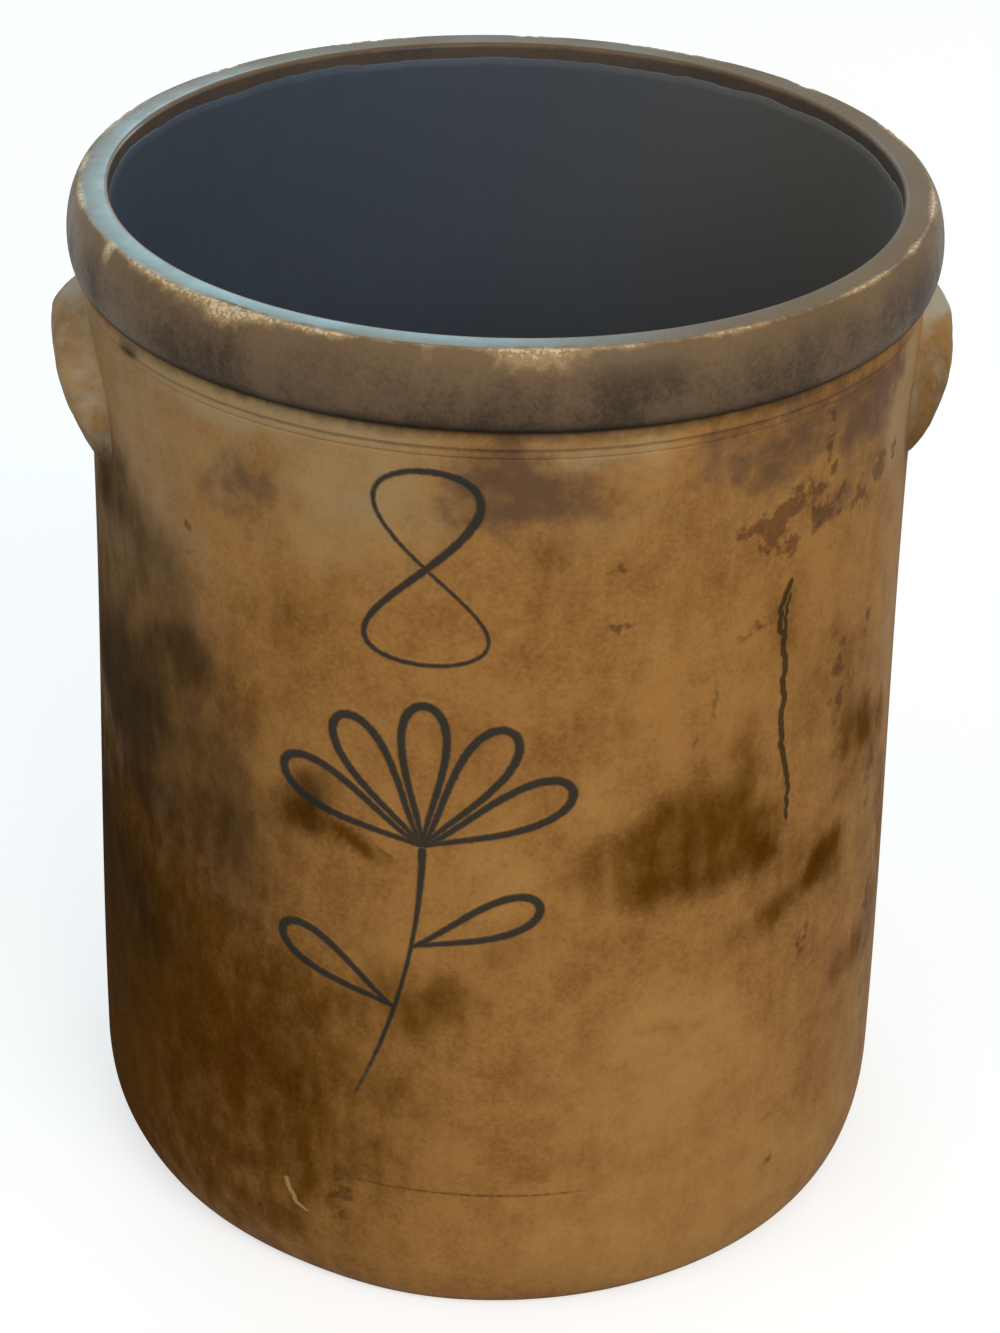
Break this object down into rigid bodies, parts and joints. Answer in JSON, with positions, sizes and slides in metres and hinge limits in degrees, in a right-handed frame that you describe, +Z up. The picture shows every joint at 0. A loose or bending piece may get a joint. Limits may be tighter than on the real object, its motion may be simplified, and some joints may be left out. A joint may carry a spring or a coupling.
{
  "type": "stoneware crock",
  "caption": "Tall cylindrical stoneware storage crock with a rolled rim, ear handles under it, a dark slip-lined inside and a trailed cobalt number and flower.",
  "frame": {"origin": "centre of the foot, on the surface that the crock stands on", "axes": "+Z up along the crock's axis, ear handles on +X and -X, the drawn side towards -Y and a little towards -X"},
  "size_m": [0.3522, 0.337, 0.425],
  "materials": {
    "salt_glaze": "mottled ochre and brown salt glaze, satin, with smoky patches",
    "rim_glaze": "dark grey-brown glaze, glossy, worn pale along the ridge",
    "ear_glaze": "ochre salt glaze, greyer on top",
    "bare_clay": "unglazed fired clay",
    "dark_slip": "near-black slip glaze, glossy",
    "cobalt_slip": "blue-black trailed slip under the glaze"
  },
  "bodies": {
    "root": {"floor_slab": "bare_clay", "wall": "salt_glaze", "rolled_rim": "rim_glaze", "left_ear": "ear_glaze", "right_ear": "ear_glaze", "slip_lining": "dark_slip", "number_trail": "cobalt_slip", "flower_trail": "cobalt_slip"}
  },
  "joints": []
}
